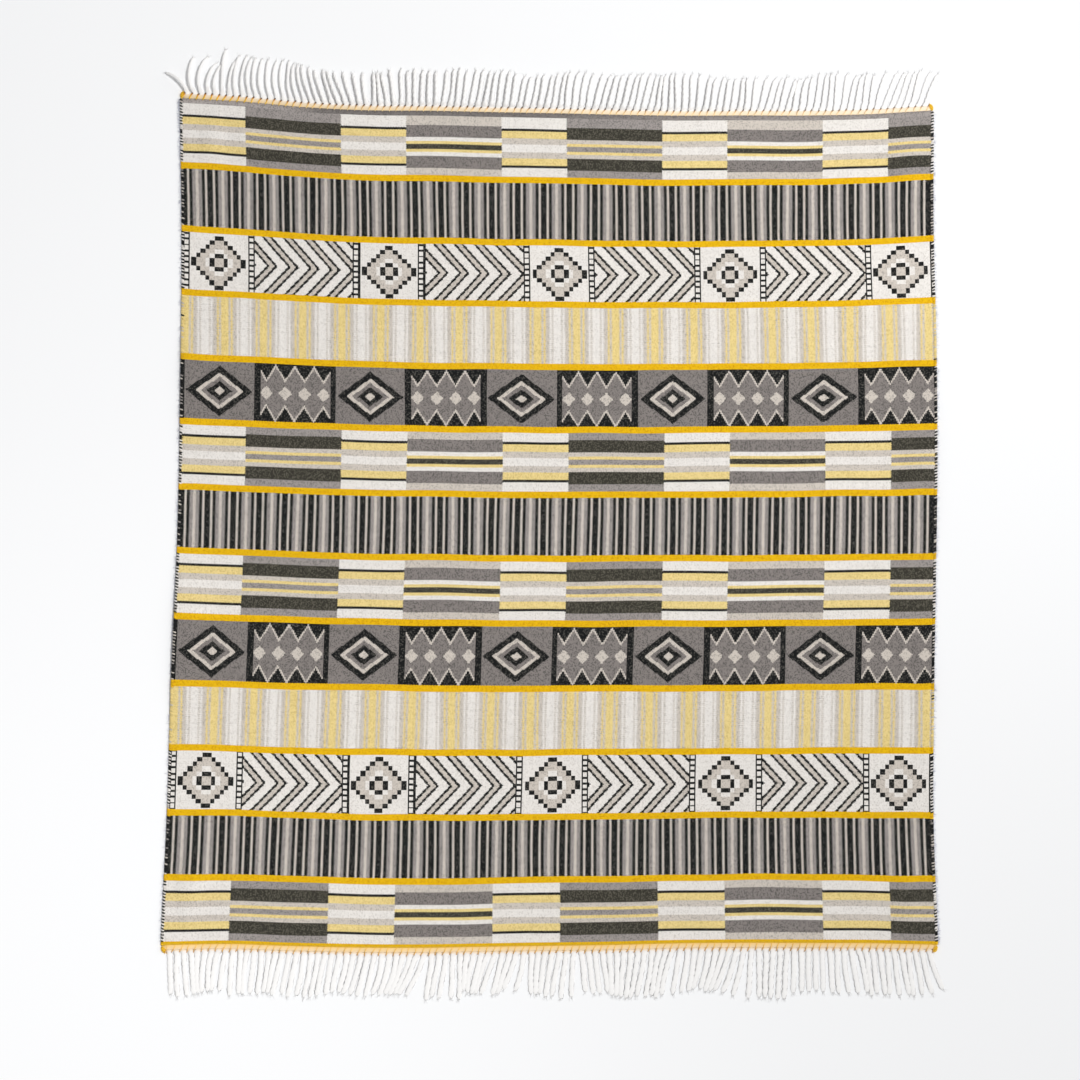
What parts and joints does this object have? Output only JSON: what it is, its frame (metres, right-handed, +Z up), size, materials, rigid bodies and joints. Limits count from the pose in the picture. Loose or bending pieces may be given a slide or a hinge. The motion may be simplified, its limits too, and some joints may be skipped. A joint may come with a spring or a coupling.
{
  "type": "woven wool bedspread with fringed ends",
  "caption": "Flat woven wool bedspread or throw with a banded pattern, bound side edges and a twisted fringe along each end, lying open on a surface.",
  "frame": {"origin": "middle of the whole piece's footprint, fringes counted, on the surface it lies on", "axes": "+Z up from the surface, +X across the cloth from the left side edge to the right, +Y towards the top end"},
  "size_m": [1.5534, 1.892, 0.0089],
  "materials": {
    "cloth_wool": "brushed twill woven wool in charcoal, greys, cream, pale yellow and gold",
    "fringe_wool": "cream wool twisted into two-ply strands, on a hem strip overcast in gold",
    "hem_yarn": "gold wool yarn, knotted"
  },
  "bodies": {
    "root": {"cloth": "cloth_wool", "fringe_top": "fringe_wool", "fringe_bottom": "fringe_wool", "tie_top_left": "hem_yarn", "tie_top_right": "hem_yarn", "tie_bottom_left": "hem_yarn", "tie_bottom_right": "hem_yarn"}
  },
  "joints": []
}
